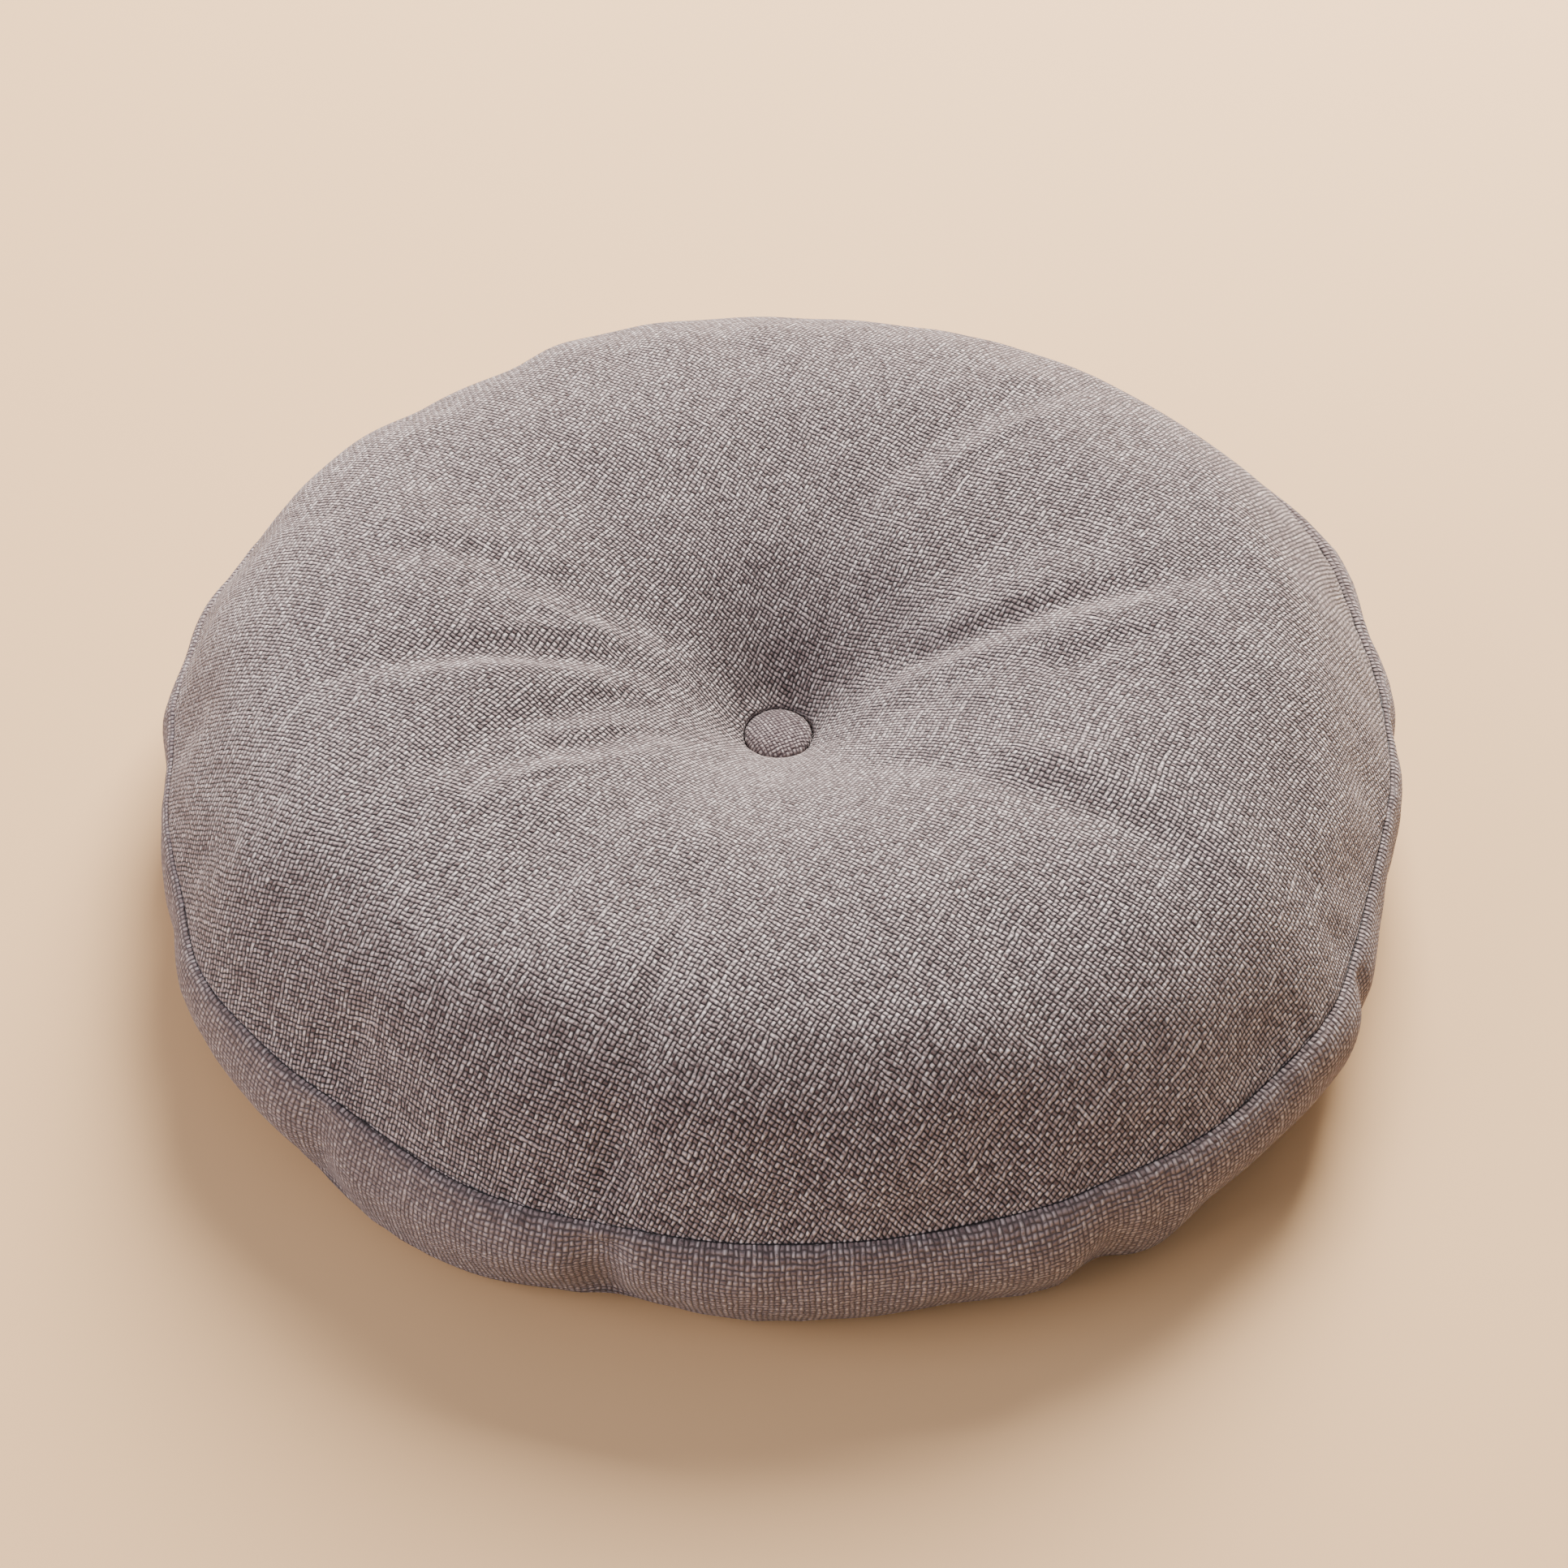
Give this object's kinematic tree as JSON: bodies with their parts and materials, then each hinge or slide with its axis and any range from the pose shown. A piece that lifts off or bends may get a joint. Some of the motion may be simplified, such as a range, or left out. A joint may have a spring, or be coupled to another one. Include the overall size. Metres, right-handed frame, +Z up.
{
  "type": "zafu meditation cushion",
  "caption": "Round, puffy floor cushion of woven cloth: a top panel, a side band and a bottom panel round one filling, drawn in at the middle by a covered button.",
  "frame": {"origin": "on the floor under the middle of the cushion", "axes": "+Z up out of the crown, +X to the right of someone who stands at -Y and looks at the cushion"},
  "size_m": [0.448, 0.4497, 0.109],
  "materials": {
    "panel_cloth": "mauve-grey linen-look plain weave with slubs",
    "band_cloth": "mauve-grey linen-look plain weave with slubs",
    "button_cloth": "mauve-grey linen-look plain weave, stretched over a button"
  },
  "bodies": {
    "root": {"cushion_body": "band_cloth", "top_panel": "panel_cloth", "bottom_panel": "panel_cloth", "top_button": "button_cloth", "bottom_button": "button_cloth"}
  },
  "joints": []
}
